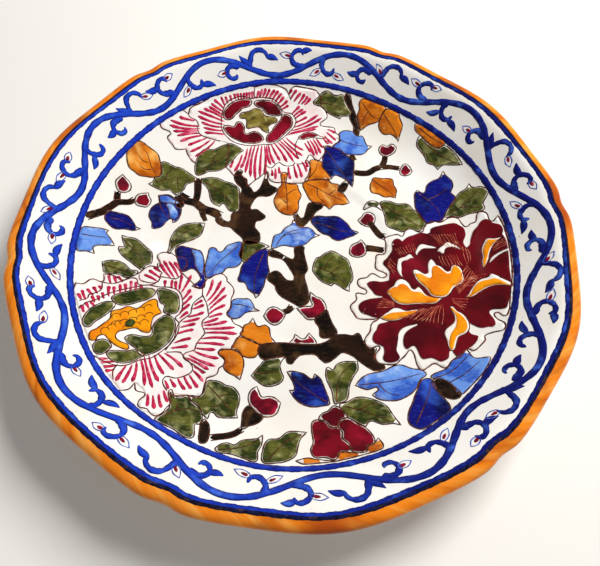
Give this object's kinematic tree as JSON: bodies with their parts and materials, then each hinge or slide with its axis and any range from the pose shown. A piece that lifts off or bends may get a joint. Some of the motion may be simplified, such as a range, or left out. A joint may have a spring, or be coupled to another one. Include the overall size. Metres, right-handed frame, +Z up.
{
  "type": "ceramic plate",
  "caption": "Shallow round ceramic plate with a lobed lip, raised foot ring, white glaze, ochre edge band, cobalt scroll border and hand painted flowers.",
  "frame": {"origin": "centre of the foot ring's standing face, on the table", "axes": "+Z up along the plate's axis, +Y towards the large flower with the dark red ring, +X towards the dark red flower"},
  "size_m": [0.2476, 0.2476, 0.0307],
  "materials": {
    "clay": "matt, unglazed",
    "white_glaze": "glossy, warm white",
    "ochre_enamel": "glossy, brushed and uneven",
    "cobalt_enamel": "glossy, brushed and uneven",
    "olive_enamel": "glossy, brushed and mottled green",
    "navy_enamel": "glossy, brushed dark blue",
    "sky_enamel": "glossy, thin light blue",
    "orange_enamel": "glossy, brushed orange",
    "branch_enamel": "glossy, nearly black brown",
    "maroon_enamel": "glossy, dark red",
    "crimson_enamel": "glossy, crimson brush strokes on white"
  },
  "bodies": {
    "root": {"clay_body": "clay", "foot_ring": "clay", "face_glaze": "white_glaze", "back_glaze": "white_glaze", "foot_recess_glaze": "white_glaze", "lip_band": "ochre_enamel", "rim_line": "cobalt_enamel", "inner_line": "cobalt_enamel", "border_scroll": "cobalt_enamel", "branch_center": "branch_enamel", "branch_lower": "branch_enamel", "branch_trunk": "branch_enamel", "flower_dark": "maroon_enamel", "flower_left": "crimson_enamel", "flower_rear": "crimson_enamel", "navy_leaf_center": "navy_enamel", "navy_leaf_center_right": "navy_enamel", "navy_leaf_left": "navy_enamel", "navy_leaf_left_inner": "navy_enamel", "navy_leaf_left_split": "navy_enamel", "navy_leaf_low": "navy_enamel", "navy_leaf_low_right": "navy_enamel", "navy_leaf_right": "navy_enamel", "navy_leaf_upper": "navy_enamel", "olive_leaf_bottom_a": "olive_enamel", "olive_leaf_bottom_b": "olive_enamel", "olive_leaf_calyx": "olive_enamel", "olive_leaf_center": "olive_enamel", "olive_leaf_center_low": "olive_enamel", "olive_leaf_left_low": "olive_enamel", "olive_leaf_left_mid": "olive_enamel", "olive_leaf_left_upper": "olive_enamel", "olive_leaf_low_a": "olive_enamel", "olive_leaf_low_b": "olive_enamel", "olive_leaf_low_center": "olive_enamel", "olive_leaf_low_left_a": "olive_enamel", "olive_leaf_low_left_b": "olive_enamel", "olive_leaf_mid": "olive_enamel", "olive_leaf_rear": "olive_enamel", "olive_leaf_right_a": "olive_enamel", "olive_leaf_right_b": "olive_enamel", "olive_leaf_right_top": "olive_enamel", "olive_leaf_top_right": "olive_enamel", "orange_leaf_center": "orange_enamel", "orange_leaf_left": "orange_enamel", "orange_leaf_pair_lower": "orange_enamel", "orange_leaf_pair_upper": "orange_enamel", "orange_leaf_right_top": "orange_enamel", "orange_leaf_small": "orange_enamel", "orange_leaf_top_a": "orange_enamel", "orange_leaf_top_b": "orange_enamel", "sky_leaf_center": "sky_enamel", "sky_leaf_center_left": "sky_enamel", "sky_leaf_left": "sky_enamel", "sky_leaf_low_a": "sky_enamel", "sky_leaf_low_b": "sky_enamel", "sky_leaf_small": "sky_enamel", "sky_leaf_upper": "sky_enamel"}
  },
  "joints": []
}
